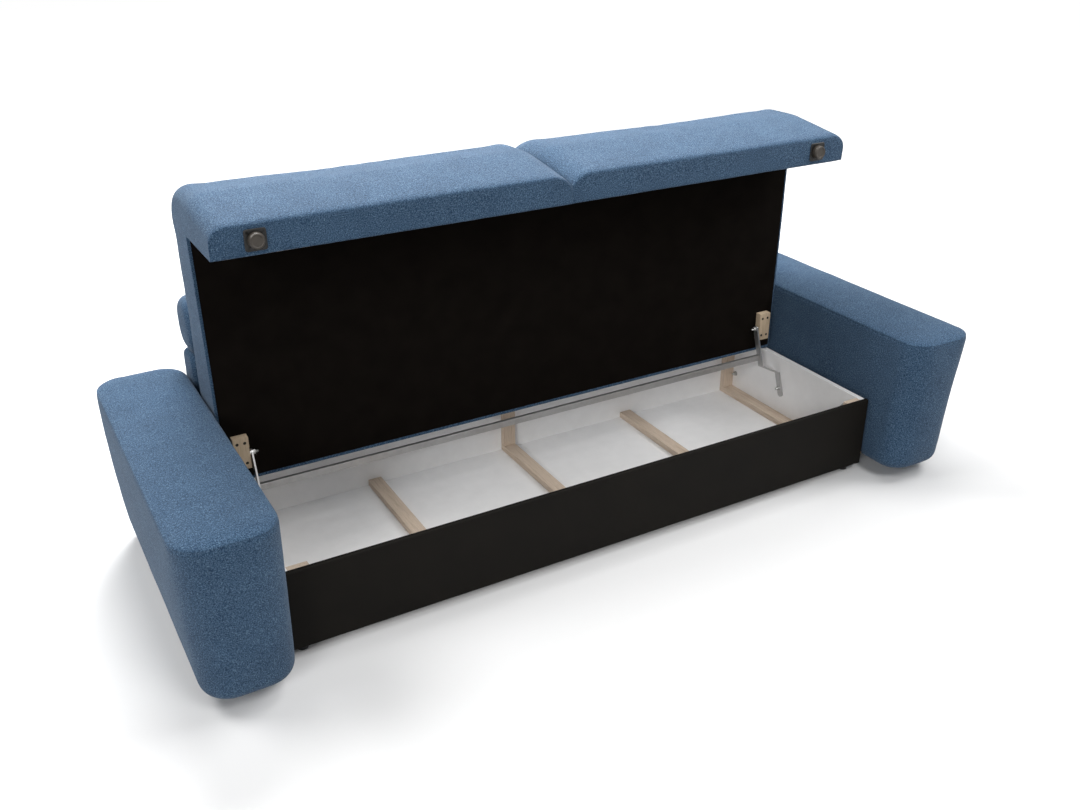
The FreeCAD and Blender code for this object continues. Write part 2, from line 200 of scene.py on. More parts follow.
def addFloor(look):
    half = look["floorHalf"]
    mesh = bpy.data.meshes.new("studioFloor")
    mesh.from_pydata([(-half, -half, 0), (half, -half, 0), (half, half, 0), (-half, half, 0)], [],
                     [(0, 1, 2, 3)])
    floor = link("studioFloor", mesh)
    paint = bpy.data.materials.new("studioFloor")
    paint.use_nodes = True
    tree = paint.node_tree
    tree.nodes.clear()
    matt = addNode(tree, "ShaderNodeBsdfDiffuse", {"Color": (look["floorGrey"],) * 3 + (1,)})
    bounce = addNode(tree, "ShaderNodeBsdfDiffuse", {"Color": (look["floorBounce"],) * 3 + (1,)})
    place = addNode(tree, "ShaderNodeTexCoord")
    away = addNode(tree, "ShaderNodeVectorMath", {0: place.outputs["Object"]}, operation="LENGTH")
    fade = addNode(tree, "ShaderNodeMapRange",
                   {"Value": away.outputs["Value"], "From Min": look["nearReach"],
                    "From Max": look["farReach"], "To Min": look["nearGlow"], "To Max": look["farGlow"]},
                   interpolation_type="SMOOTHSTEP")
    glow = addNode(tree, "ShaderNodeEmission", {"Strength": fade.outputs["Result"]})
    lit = addNode(tree, "ShaderNodeAddShader", {0: matt.outputs[0], 1: glow.outputs[0]})
    mix = addNode(tree, "ShaderNodeMixShader",
                  {0: seenDirectly(tree), 1: bounce.outputs[0], 2: lit.outputs[0]})
    addNode(tree, "ShaderNodeOutputMaterial", {0: mix.outputs[0]})
    mesh.materials.append(paint)


def addLamp(name, spot, size, power, aim):
    data = bpy.data.lights.new(name, "AREA")
    data.shape = "DISK"
    data.size = size
    data.energy = power
    lamp = bpy.data.objects.new(name, data)
    lamp.location = spot
    lamp.rotation_euler = (Vector(aim) - Vector(spot)).to_track_quat("-Z", "Y").to_euler()
    scene.collection.objects.link(lamp)


addCamera(cameraPlace)
addWorld(studio)
addFloor(studio)
for name, (spot, size, power) in lamps.items():
    addLamp(name, spot, size, power, studio["aim"])
scene.view_settings.view_transform = "Standard"
print("studio ready")


# Materials
def startMaterial(name, roughness, metallic=0.0, specular=0.5):
    paint = bpy.data.materials.new(name)
    paint.use_nodes = True
    tree = paint.node_tree
    shader = tree.nodes["Principled BSDF"]
    shader.inputs["Metallic"].default_value = metallic
    shader.inputs["Specular IOR Level"].default_value = specular
    shader.inputs["Roughness"].default_value = roughness
    return paint, tree, shader


def objectCoordinates(tree, stretch=(1, 1, 1)):
    place = addNode(tree, "ShaderNodeTexCoord")
    mapping = addNode(tree, "ShaderNodeMapping", {"Vector": place.outputs["Object"], "Scale": stretch})
    return mapping.outputs["Vector"]


def noiseField(tree, where, scale, detail=2.0, rough=0.5, distortion=0.0):
    field = addNode(tree, "ShaderNodeTexNoise", {"Vector": where, "Scale": scale, "Detail": detail,
                                                 "Roughness": rough, "Distortion": distortion})
    return field.outputs["Fac"]


def ramp(tree, value, stops):
    band = tree.nodes.new("ShaderNodeValToRGB")
    points = band.color_ramp.elements
    while len(points) < len(stops):
        points.new(0.5)
    for point, (place, colour) in zip(points, stops):
        point.position = place
        point.color = tuple(colour) + (1,)
    tree.links.new(value, band.inputs["Fac"])
    return band.outputs["Color"]


def blendColour(tree, factor, first, second, mode="MIX"):
    mix = tree.nodes.new("ShaderNodeMix")
    mix.data_type = "RGBA"
    mix.blend_type = mode
    for name, value in (("Factor", factor), ("A", first), ("B", second)):
        socket = mix.inputs[name]
        if isinstance(value, bpy.types.NodeSocket):
            tree.links.new(value, socket)
        elif isinstance(value, float):
            socket.default_value = value
        else:
            socket.default_value = tuple(value) + (1,)
    return mix.outputs["Result"]


def coat(tree, shader, colour, height, depth):
    # A material's colour and its fine relief
    tree.links.new(colour, shader.inputs["Base Color"])
    bump = addNode(tree, "ShaderNodeBump", {"Height": height, "Distance": depth, "Strength": 1.0})
    tree.links.new(bump.outputs["Normal"], shader.inputs["Normal"])


cloth = {"dark": (0.004, 0.014, 0.036), "mid": (0.032, 0.070, 0.128), "light": (0.122, 0.190, 0.266),
         "sheenTint": (0.88, 0.93, 1, 1), "sheen": 0.12, "loops": 360.0, "tufts": 330.0, "fibres": 1000.0,
         "loopDepth": 0.0015, "wander": 150.0, "wanderReach": 0.005, "clouds": 11.0}


def makeBlueCloth(look):
    # Short looped cloth: small tufts of three blues, each with its own height
    paint, tree, shader = startMaterial("blueCloth", 0.95, specular=0.12)
    shader.inputs["Sheen Weight"].default_value = look["sheen"]
    shader.inputs["Sheen Roughness"].default_value = 0.5
    shader.inputs["Sheen Tint"].default_value = look["sheenTint"]
    where = objectCoordinates(tree)
    wander = noiseField(tree, where, look["wander"], 3.0)
    shifted = addNode(tree, "ShaderNodeVectorMath", {0: wander, 1: (look["wanderReach"],) * 3, 2: where},
                      operation="MULTIPLY_ADD")
    loops = addNode(tree, "ShaderNodeTexVoronoi", {"Vector": shifted.outputs[0], "Scale": look["loops"],
                                                   "Smoothness": 0.5}, feature="SMOOTH_F1")
    fibres = noiseField(tree, where, look["fibres"], 3.0, 0.7)
    tufts = noiseField(tree, where, look["tufts"], 3.0, 0.68)
    clouds = noiseField(tree, where, look["clouds"], 4.0, 0.6)
    hills = calc(tree, "SUBTRACT", 1.0, loops.outputs["Distance"])
    height = mixOf(tree, hills, 0.55, tufts, 0.6)
    speckle = mixOf(tree, tufts, 0.66, fibres, 0.34)
    colour = ramp(tree, speckle, [(0.36, look["dark"]), (0.5, look["mid"]), (0.64, look["light"])])
    tone = ramp(tree, clouds, [(0.3, (0.90, 0.90, 0.91)), (0.7, (1.09, 1.08, 1.07))])
    colour = blendColour(tree, 1.0, colour, tone, "MULTIPLY")
    coat(tree, shader, colour, height, look["loopDepth"])
    return paint


def makeBlackFelt():
    paint, tree, shader = startMaterial("blackFelt", 1.0, specular=0.03)
    where = objectCoordinates(tree)
    fibres = noiseField(tree, where, 900.0, 4.0, 0.7)
    patches = noiseField(tree, where, 14.0, 3.0)
    colour = ramp(tree, mixOf(tree, fibres, 0.6, patches, 0.4),
                  [(0.3, (0.0030, 0.0023, 0.0020)), (0.7, (0.0085, 0.0068, 0.0055))])
    coat(tree, shader, colour, fibres, 0.0002)
    return paint


def makeBlackCloth():
    paint, tree, shader = startMaterial("blackCloth", 0.7, specular=0.12)
    where = objectCoordinates(tree)
    weave = []
    for direction in ("X", "Z"):
        threads = addNode(tree, "ShaderNodeTexWave", {"Vector": where, "Scale": 260.0, "Distortion": 0.6,
                                                      "Detail Scale": 40.0}, wave_type="BANDS",
                          bands_direction=direction)
        weave.append(threads.outputs["Fac"])
    height = calc(tree, "MULTIPLY", weave[0], weave[1])
    patches = noiseField(tree, where, 7.0, 4.0)
    colour = ramp(tree, mixOf(tree, height, 0.35, patches, 0.65),
                  [(0.25, (0.0024, 0.0019, 0.0012)), (0.75, (0.0070, 0.0055, 0.0038))])
    coat(tree, shader, colour, height, 0.0002)
    return paint


def makeWhiteBoard(name, base, grain, depth):
    # White faced board: faint mottling and the fine texture of melamine
    paint, tree, shader = startMaterial(name, 0.42, specular=0.45)
    where = objectCoordinates(tree)
    mottle = noiseField(tree, where, 22.0, 4.0, 0.6)
    texture = noiseField(tree, where, grain, 2.0, 0.6)
    dark = tuple(c * 0.94 for c in base)
    colour = ramp(tree, mixOf(tree, mottle, 0.75, texture, 0.25), [(0.3, dark), (0.7, base)])
    coat(tree, shader, colour, texture, depth)
    return paint


def makeWood(name, along, pale=(0.64, 0.525, 0.42), dark=(0.52, 0.405, 0.30)):
    # Planed softwood with its grain along one axis
    paint, tree, shader = startMaterial(name, 0.62, specular=0.3)
    stretch = [22.0, 22.0, 22.0]
    stretch["xyz".index(along)] = 0.9
    where = objectCoordinates(tree, stretch)
    rings = noiseField(tree, where, 7.0, 5.0, 0.62, 1.4)
    fine = [150.0, 150.0, 150.0]
    fine["xyz".index(along)] = 6.0
    pores = noiseField(tree, objectCoordinates(tree, fine), 6.0, 3.0, 0.6)
    colour = ramp(tree, rings, [(0.34, dark), (0.47, pale), (0.6, tuple(c * 1.06 for c in pale)),
                                (0.74, tuple(0.5 * (p + d) for p, d in zip(pale, dark)))])
    colour = blendColour(tree, 1.0, colour, ramp(tree, pores, [(0.3, (0.86, 0.84, 0.82)), (0.6, (1, 1, 1))]),
                         "MULTIPLY")
    coat(tree, shader, colour, pores, 0.0003)
    return paint


def makeChipboard():
    paint, tree, shader = startMaterial("rawBoard", 0.8, specular=0.2)
    chips = addNode(tree, "ShaderNodeTexVoronoi", {"Vector": objectCoordinates(tree), "Scale": 420.0})
    shade = chips.outputs["Distance"]
    colour = ramp(tree, shade, [(0.1, (0.50, 0.37, 0.24)), (0.7, (0.33, 0.23, 0.14))])
    coat(tree, shader, colour, shade, 0.0003)
    return paint


def makeZinc(name, base, roughness):
    # Zinc plated steel: cloudy sheen and fine scratches
    paint, tree, shader = startMaterial(name, roughness, metallic=1.0)
    where = objectCoordinates(tree)
    clouds = noiseField(tree, where, 60.0, 4.0, 0.6)
    scratches = noiseField(tree, objectCoordinates(tree, (1, 1, 9)), 420.0, 2.0, 0.6)
    colour = ramp(tree, clouds, [(0.3, tuple(c * 0.86 for c in base)), (0.7, base)])
    rough = ramp(tree, mixOf(tree, clouds, 0.5, scratches, 0.5),
                 [(0.3, (roughness * 0.75,) * 3), (0.7, (roughness * 1.3,) * 3)])
    tree.links.new(rough, shader.inputs["Roughness"])
    coat(tree, shader, colour, scratches, 0.00006)
    return paint


def makeBlackPlastic(name, dark, pale):
    paint, tree, shader = startMaterial(name, 0.42, specular=0.35)
    where = objectCoordinates(tree)
    grain = noiseField(tree, where, 1400.0, 2.0)
    wear = noiseField(tree, where, 70.0, 4.0)
    colour = ramp(tree, wear, [(0.35, dark), (0.75, pale)])
    coat(tree, shader, colour, grain, 0.00008)
    return paint


def makeDarkSteel():
    paint, tree, shader = startMaterial("darkSteel", 0.5, metallic=0.4)
    clouds = noiseField(tree, objectCoordinates(tree), 500.0, 3.0)
    colour = ramp(tree, clouds, [(0.3, (0.012, 0.010, 0.008)), (0.7, (0.030, 0.024, 0.018))])
    tree.links.new(colour, shader.inputs["Base Color"])
    return paint


blueCloth = makeBlueCloth(cloth)
blackFelt = makeBlackFelt()
blackCloth = makeBlackCloth()
whiteBoard = makeWhiteBoard("whiteBoard", (0.92, 0.912, 0.908), 900.0, 0.00005)
hardboard = makeWhiteBoard("whiteHardboard", (0.92, 0.912, 0.905), 1500.0, 0.00008)
woodAlong = {axis: makeWood("softwood" + axis.upper(), axis) for axis in "xyz"}
rawBoard = makeChipboard()
zinc = makeZinc("zinc", (0.46, 0.46, 0.45), 0.32)
satinSteel = makeZinc("satinSteel", (0.56, 0.555, 0.55), 0.4)
blackPlastic = makeBlackPlastic("blackPlastic", (0.012, 0.012, 0.0125), (0.017, 0.017, 0.0175))
platePlastic = makeBlackPlastic("platePlastic", (0.005, 0.005, 0.005), (0.008, 0.0075, 0.007))
glidePlastic = makeBlackPlastic("glidePlastic", (0.034, 0.028, 0.022), (0.047, 0.039, 0.031))
blockWood = makeWood("blockWood", "z", (0.56, 0.44, 0.31), (0.47, 0.365, 0.24))
darkSteel = makeDarkSteel()
print("materials ready")


# Padded pieces: a section with four marked corners, carried through stations
def filletLoop(corners):
    # Dense closed outline of (a, b, radius) corners and the index of each corner's middle
    count = len(corners)
    points = []
    middles = []
    for i in range(count):
        here = Vector(corners[i][:2])
        back = (Vector(corners[i - 1][:2]) - here).normalized()
        ahead = (Vector(corners[(i + 1) % count][:2]) - here).normalized()
        half = math.acos(max(-1, min(1, back.dot(ahead)))) / 2
        radius = corners[i][2]
        reach = radius / math.tan(half)
        centre = here + (back + ahead).normalized() * (radius / math.sin(half))
        start = here + back * reach - centre
        end = here + ahead * reach - centre
        sweep = math.atan2(start.x * end.y - start.y * end.x, start.dot(end))
        for k in range(13):
            angle = sweep * k / 12
            if k == 6:
                middles.append(len(points))
            points.append(centre + Vector((start.x * math.cos(angle) - start.y * math.sin(angle),
                                           start.x * math.sin(angle) + start.y * math.cos(angle))))
    return points, middles


def evenly(points, count):
    lengths = [0]
    for a, b in zip(points, points[1:]):
        lengths.append(lengths[-1] + (b - a).length)
    result = []
    k = 0
    for i in range(count + 1):
        target = lengths[-1] * i / count
        while k < len(points) - 2 and lengths[k + 1] < target:
            k += 1
        span = lengths[k + 1] - lengths[k]
        share = 0 if span == 0 else (target - lengths[k]) / span
        result.append(points[k].lerp(points[k + 1], min(1, max(0, share))))
    return result


def fourPaths(corners, marked, across, along):
    # The outline as four evenly divided paths between the marked corners
    points, middles = filletLoop(corners)
    paths = []
    for i in range(4):
        start = middles[marked[i]]
        end = middles[marked[(i + 1) % 4]]
        if end <= start:
            end += len(points)
        run = [points[k % len(points)] for k in range(start, end + 1)]
        paths.append(evenly(run, across if i % 2 == 0 else along))
    return paths


def fillCap(paths):
    # Grid of points inside the four paths
    low, outer, high, inner = paths
    innerUp = inner[::-1]
    highBack = high[::-1]
    across = len(low) - 1
    along = len(outer) - 1
    grid = []
    for j in range(along + 1):
        v = j / along
        row = []
        for i in range(across + 1):
            u = i / across
            sideways = innerUp[j].lerp(outer[j], u)
            upward = low[i].lerp(highBack[i], v)
            corner = (low[0] * (1 - u) * (1 - v) + low[-1] * u * (1 - v)
                      + highBack[0] * (1 - u) * v + highBack[-1] * u * v)
            row.append(sideways + upward - corner)
        grid.append(row)
    return grid


def skinPad(name, stations, toSpace):
    # stations are (place, four paths); toSpace turns place, a, b into a point
    verts = []
    faces = []
    loops = []
    for place, paths in stations:
        loop = []
        for path in paths:
            for point in path[:-1]:
                loop.append(len(verts))
                verts.append(toSpace(place, point.x, point.y))
        loops.append(loop)
    size = len(loops[0])
    for one, two in zip(loops, loops[1:]):
        for k in range(size):
            nextK = (k + 1) % size
            faces.append((one[k], one[nextK], two[nextK], two[k]))
    for end, flip in ((0, True), (-1, False)):
        place, paths = stations[end]
        across = len(paths[0]) - 1
        along = len(paths[1]) - 1
        grid = fillCap(paths)
        ids = [[None] * (across + 1) for _ in range(along + 1)]
        loop = loops[end]
        for i in range(across):
            ids[0][i] = loop[i]
            ids[along][across - i] = loop[across + along + i]
        for j in range(along):
            ids[j][across] = loop[across + j]
            ids[along - j][0] = loop[2 * across + along + j]
        for j in range(1, along):
            for i in range(1, across):
                ids[j][i] = len(verts)
                verts.append(toSpace(place, grid[j][i].x, grid[j][i].y))
        for j in range(along):
            for i in range(across):
                face = (ids[j][i], ids[j][i + 1], ids[j + 1][i + 1], ids[j + 1][i])
                faces.append(face[::-1] if flip else face)
    return solid(name, verts, faces)


def mixPaths(one, two, share):
    return [[a.lerp(b, share) for a, b in zip(p, q)] for p, q in zip(one, two)]


def roundedStations(start, end, step, startRound, endRound, full, startShape, endShape, turns=7):
    # Places along the piece with the share of each end's smaller outline
    result = []
    for k in range(turns, 0, -1):
        angle = math.pi / 2 * k / turns
        result.append((start + startRound * (1 - math.sin(angle)),
                       mixPaths(full, startShape, 1 - math.cos(angle))))
    middle = max(2, round((end - start - startRound - endRound) / step))
    for k in range(middle + 1):
        result.append((start + startRound + (end - start - startRound - endRound) * k / middle, full))
    for k in range(1, turns + 1):
        angle = math.pi / 2 * k / turns
        result.append((end - endRound * (1 - math.sin(angle)), mixPaths(full, endShape, 1 - math.cos(angle))))
    return result


def swell(piece, held, most, pressure=4.0, frames=14):
    # Blows the cover out between the held points by cloth simulation, at most this far
    group = piece.vertex_groups.new(name="held")
    for index, vertex in enumerate(piece.data.vertices):
        weight = held(vertex.co)
        if weight > 0:
            group.add([index], weight, "REPLACE")
    press = piece.modifiers.new("press", "CLOTH")
    press.settings.quality = 5
    press.settings.mass = 0.3
    press.settings.tension_stiffness = 20
    press.settings.compression_stiffness = 20
    press.settings.shear_stiffness = 12
    press.settings.bending_stiffness = 3
    press.settings.use_pressure = True
    press.settings.uniform_pressure_force = pressure
    press.settings.effector_weights.gravity = 0
    press.settings.vertex_group_mass = "held"
    press.point_cache.frame_start = 1
    press.point_cache.frame_end = frames
    for number in range(1, frames + 1):
        scene.frame_set(number)
    shaped = piece.evaluated_get(bpy.context.evaluated_depsgraph_get())
    moves = [b.co - a.co for a, b in zip(piece.data.vertices, shaped.data.vertices)]
    furthest = max(m.length for m in moves)
    share = min(1, most / furthest) if furthest > 0 else 0
    piece.modifiers.remove(press)
    piece.vertex_groups.clear()
    scene.frame_set(1)
    for vertex, move in zip(piece.data.vertices, moves):
        vertex.co += move * share
    print(piece.name, "swelled", round(furthest * 1000, 1), "mm, kept", round(min(furthest, most) * 1000, 1))


def ripple(piece, depth, size, seed):
    # Slight unevenness of foam under cloth
    shift = Vector((seed * 3.1, seed * 1.7, seed * 2.3))
    normals = [v.normal.copy() for v in piece.data.vertices]
    for vertex, normal in zip(piece.data.vertices, normals):
        vertex.co += normal * unevenness(vertex.co / size + shift) * depth


def refine(piece):
    smooth = piece.modifiers.new("smooth", "SUBSURF")
    smooth.levels = 1
    smooth.render_levels = 1
    settle(piece)
    shadeSmooth(piece.data)


def mirrorPiece(piece, name):
    mesh = piece.data.copy()
    mesh.transform(Matrix.Scale(-1, 4, (1, 0, 0)))
    mesh.flip_normals()
    mesh.name = name
    return link(name, mesh)


def standFor(piece, finish, node):
    # The piece takes the node's body and the given finish, and the node is hidden
    paintWith(piece, finish)
    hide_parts(node)
    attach(piece, bodyOf(node))


def dressPad(piece, node):
    standFor(piece, blueCloth, node)


# Arms
armLook = {"grid": 0.014, "corner": 0.080, "footInset": 0.030, "footRound": 0.034, "seamZ": 0.501,
           "seamPull": 0.0030, "seamReach": 0.006, "crownInset": 0.046, "crownRise": 0.013,
           "footTaper": 0.022, "frontTaper": 0.025, "rearTaper": 0.008, "swell": 0.011, "seamHeld": 0.0075,
           "footHeld": 0.07, "innerHeld": 1.02, "innerLeast": 1.0118}


def buildArm(look):
    low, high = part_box("arm_pad_right")
    across = round((high.x - low.x) / look["grid"])
    along = round((high.y - low.y) / look["grid"])

    def outline(z, inset, radius):
        lean = 1 - rise(z, low.z, look["seamZ"] - low.z)
        x0 = low.x + inset
        x1 = high.x - look["footTaper"] * lean - inset
        y0 = low.y + look["frontTaper"] * lean + inset
        y1 = high.y - look["rearTaper"] * lean - inset
        corners = [(x0, y0, radius), (x1, y0, radius), (x1, y1, radius), (x0, y1, radius)]
        return fourPaths(corners, (0, 1, 2, 3), across, along)

    stations = []
    for k in range(7):
        angle = math.pi / 2 * (1 - k / 6)
        inset = look["footRound"] * (1 - math.cos(angle)) * look["footInset"] / look["footRound"]
        z = low.z + look["footRound"] * (1 - math.sin(angle))
        stations.append((z, outline(z, inset, look["corner"] - inset)))
    start = low.z + look["footRound"]
    seam = look["seamZ"]
    reach = look["seamReach"]
    rows = round((seam - 2 * reach - start) / look["grid"])
    for k in range(1, rows + 1):
        z = start + (seam - 2 * reach - start) * k / rows
        stations.append((z, outline(z, 0, look["corner"])))
    for z, inset in ((seam - reach, 0.0002), (seam - reach / 3, look["seamPull"] * 0.55),
                     (seam, look["seamPull"]), (seam + reach / 3, look["seamPull"] * 0.75),
                     (seam + reach * 0.8, look["seamPull"] * 0.62)):
        stations.append((z, outline(z, inset, look["corner"] - inset)))
    for k in range(2, 8):
        angle = math.pi / 2 * k / 7
        inset = look["seamPull"] * 0.6 + look["crownInset"] * (1 - math.cos(angle))
        z = seam + reach * 0.5 + look["crownRise"] * math.sin(angle)
        stations.append((z, outline(z, inset, look["corner"] - inset)))
    return skinPad("armRight", stations, lambda place, a, b: (a, b, place))


def armHeld(place):
    if abs(place.z - armLook["seamZ"]) < armLook["seamHeld"] or place.z < armLook["footHeld"]:
        return 1.0
    return 0.85 if place.x < armLook["innerHeld"] else 0.0


armRight = buildArm(armLook)
swell(armRight, armHeld, armLook["swell"])
for vertex in armRight.data.vertices:
    vertex.co.x = max(vertex.co.x, armLook["innerLeast"])
ripple(armRight, 0.0011, 0.14, 1)
refine(armRight)
armLeft = mirrorPiece(armRight, "armLeft")
dressPad(armRight, "arm_pad_right")
dressPad(armLeft, "arm_pad_left")
print("arms ready")


# Seat pads, described by s from the rear edge and h from the black face, as they lie in the raised seat
seatLook = {"grid": 0.014, "across": 16, "along": 84, "outerRound": 0.048, "innerRound": 0.066,
            "outerTip": 0.040, "innerTip": 0.050, "swell": 0.012, "lip": 0.007, "flare": 0.0066,
            "halfWidth": 1.0046, "apronHeld": 0.016, "seamHeld": 0.003, "foldHeld": 0.012, "rearHeld": 0.030,
            "besideFrom": 0.935, "besideOver": 0.03, "behindFrom": 0.27, "behindOver": 0.04,
            "sink": 0.0045, "lift": 0.006}
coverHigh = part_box("seat_cover")[1]
padLow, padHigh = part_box("seat_pad_right")
faceY = coverHigh.y - mm(1)
rearZ = padLow.z
seatLength = padHigh.z - padLow.z
seatDeep = padHigh.y - faceY
apronDrop = faceY - padLow.y
apronFace = coverHigh.z - rearZ


def seatOutline(look, end, tip=0):
    # Corners as s, h, radius; end is 0 for the full outline and 1 for an end, with its apron tip cut by tip
    lip = look["lip"] * (1 - end)
    top = mm(34) * end
    front = seatLength - mm(4) - max(mm(34) * end, tip)
    corners = [(mm(4.2), -mm(1.2), mm(0.8)),
               (-lip + mm(4) * end, -mm(12), mm(7)),
               (-lip * 0.8 + mm(4) * end, -mm(70), mm(45)),
               (mm(2) + mm(20) * end, -seatDeep + top, mm(80) - mm(25) * end),
               (front, -seatDeep + top, mm(150) - mm(45) * end),
               (front, mm(40), mm(60) - mm(15) * end),
               (seatLength - mm(34) - tip, apronDrop - mm(2) * end, mm(11)),
               (apronFace - mm(1), apronDrop - mm(1) - mm(3) * end, mm(4)),
               (apronFace + mm(0.4), apronDrop - mm(24), mm(10)),
               (apronFace + mm(0.4), -mm(1.2), mm(4))]
    return fourPaths(corners, (0, 3, 6, 7), look["across"], look["along"])


def seatHeld(place):
    s = place.z - rearZ
    h = faceY - place.y
    atFace = h > -seatLook["seamHeld"] and s < apronFace + seatLook["foldHeld"]
    if atFace or h > apronDrop - seatLook["apronHeld"]:
        return 1.0
    return 0.9 if s < seatLook["rearHeld"] else 0.0


def clearBox(piece, look):
    # Keeps the rear lip above the box's walls and the ends clear of the arms
    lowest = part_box("side_wall_right")[1].z - look["sink"]
    for vertex in piece.data.vertices:
        place = vertex.co
        beside = rise(abs(place.x), look["besideFrom"], look["besideOver"])
        behind = rise(place.y, look["behindFrom"], look["behindOver"])
        place.z = max(place.z, lowest + look["lift"] * max(beside, behind))
        furthest = look["halfWidth"] + look["flare"] * rise(place.z, rearZ, seatLength)
        place.x = max(-furthest, min(furthest, place.x))


def buildSeatPad(side, look):
    sign = sides[side]
    full = seatOutline(look, 0)
    outer = seatOutline(look, 1, look["outerTip"])
    inner = seatOutline(look, 0.75, look["innerTip"])
    start, end = mm(0.15), padHigh.x
    stations = roundedStations(start, end, look["grid"], look["innerRound"], look["outerRound"],
                               full, inner, outer, 9)

    def toSpace(place, a, b):
        spread = look["flare"] * a / seatLength * (place / end) ** 4
        return sign * (place + spread), faceY - b, rearZ + a

    return skinPad("seatPad" + side.title(), stations, toSpace)


for side in sides:
    pad = buildSeatPad(side, seatLook)
    swell(pad, seatHeld, seatLook["swell"])
    clearBox(pad, seatLook)
    ripple(pad, 0.0013, 0.16, 4 + sides[side])
    clearBox(pad, seatLook)
    refine(pad)
    dressPad(pad, "seat_pad_" + side)
print("seat pads ready")


# Back cushions and head rolls
backLook = {"grid": 0.015, "across": 9, "along": 40, "endRound": 0.020, "endInset": 0.014, "swell": 0.010,
            "heldBelow": 0.29, "heldAbove": 0.56}
rollLook = {"grid": 0.013, "across": 12, "along": 12, "endRound": 0.034, "endInset": 0.030, "swell": 0.009,
            "heldBelow": 0.59, "heldAbove": 2.0}


def alongSofa(name, look, end, outline):
    # A padded piece from the sofa's middle to its end, with rounded ends
    smaller = outline(look["endInset"])
    stations = roundedStations(mm(0.6), end, look["grid"], look["endRound"], look["endRound"],
                               outline(0), smaller, smaller)
    return skinPad(name, stations, lambda place, a, b: (place, a, b))


def buildBackCushion(look):
    low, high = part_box("back_cushion_right")
    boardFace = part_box("back_board")[1].y
    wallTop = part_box("side_wall_right")[1].z

    def outline(inset):
        skirt = boardFace + mm(1)
        corners = [(low.y + inset, high.z - inset, mm(36) - inset),
                   (high.y - inset, high.z - inset, mm(36) - inset),
                   (high.y - inset, low.z + inset * 0.3, mm(5)),
                   (skirt, low.z + inset * 0.3, mm(3)),
                   (skirt, wallTop + mm(9), mm(3)),
                   (low.y + inset, wallTop + mm(9) + inset, mm(22))]
        return fourPaths(corners, (0, 1, 2, 3), look["across"], look["along"])

    return alongSofa("backCushionRight", look, high.x, outline)


def buildHeadRoll(look):
    low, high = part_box("head_roll_right")

    def outline(inset):
        corners = [(low.y + inset, low.z + inset, mm(55) - inset * 0.6),
                   (high.y - inset, low.z + inset, mm(55) - inset * 0.6),
                   (high.y - inset, high.z - inset, mm(78) - inset),
                   (low.y + inset, high.z - inset, mm(78) - inset)]
        return fourPaths(corners, (0, 1, 2, 3), look["across"], look["along"])

    return alongSofa("headRollRight", look, high.x, outline)


def finishPair(right, look, depth, size, seed, leftName, nodeName):
    # Swells the right piece and mirrors it to the left
    swell(right, lambda p: 0.0 if look["heldBelow"] <= p.z <= look["heldAbove"] else 1.0, look["swell"])
    ripple(right, depth, size, seed)
    refine(right)
    left = mirrorPiece(right, leftName)
    dressPad(right, nodeName + "_right")
    dressPad(left, nodeName + "_left")


finishPair(buildBackCushion(backLook), backLook, 0.0012, 0.15, 9, "backCushionLeft", "back_cushion")
finishPair(buildHeadRoll(rollLook), rollLook, 0.0012, 0.12, 12, "headRollLeft", "head_roll")
print("back ready")


# Rigid pieces
def easeEdges(node, ease, finish):
    # A board or strip of the same size whose edges are taken off
    words = node.split("_")
    work = bmesh.new()
    work.from_mesh(nodes[node].data)
    bmesh.ops.remove_doubles(work, verts=work.verts, dist=mm(0.005))
    bmesh.ops.dissolve_limit(work, angle_limit=math.radians(0.5), verts=work.verts, edges=work.edges)
    work.verts.index_update()
    name = words[0] + "".join(w.title() for w in words[1:])
    mesh = bpy.data.meshes.new(name)
    mesh.from_pydata([v.co.copy() for v in work.verts], [], [[v.index for v in f.verts] for f in work.faces])
    work.free()
    piece = link(name, mesh)
    bevel = piece.modifiers.new("ease", "BEVEL")
    bevel.width = ease
    bevel.segments = 2
    bevel.limit_method = "ANGLE"
    bevel.angle_limit = math.radians(35)
    settle(piece)
    standFor(piece, finish, node)


def turned(name, profile, facets, spot=(0, 0, 0), way=(0, 0, 1)):
    # Round piece from (radius, height) points; either may be a function of the angle
    place = Matrix.Translation(spot) @ Vector(way).to_track_quat("Z", "Y").to_matrix().to_4x4()
    verts = []
    rows = []
    for radius, height in profile:
        row = []
        for k in range(1 if radius == 0 else facets):
            angle = 2 * math.pi * k / facets
            r = radius(angle) if callable(radius) else radius
            z = height(angle) if callable(height) else height
            row.append(len(verts))
            verts.append(place @ Vector((r * math.cos(angle), r * math.sin(angle), z)))
        rows.append(row)
    pairs = list(zip(rows, rows[1:])) + ([(rows[-1], rows[0])] if len(rows[0]) > 1 else [])
    faces = []
    for low, high in pairs:
        for k in range(facets):
            ring = (low[k % len(low)], low[(k + 1) % len(low)],
                    high[(k + 1) % len(high)], high[k % len(high)])
            faces.append(tuple(dict.fromkeys(ring)))
    piece = solid(name, verts, faces)
    shadeSmooth(piece.data, 38)
    return piece


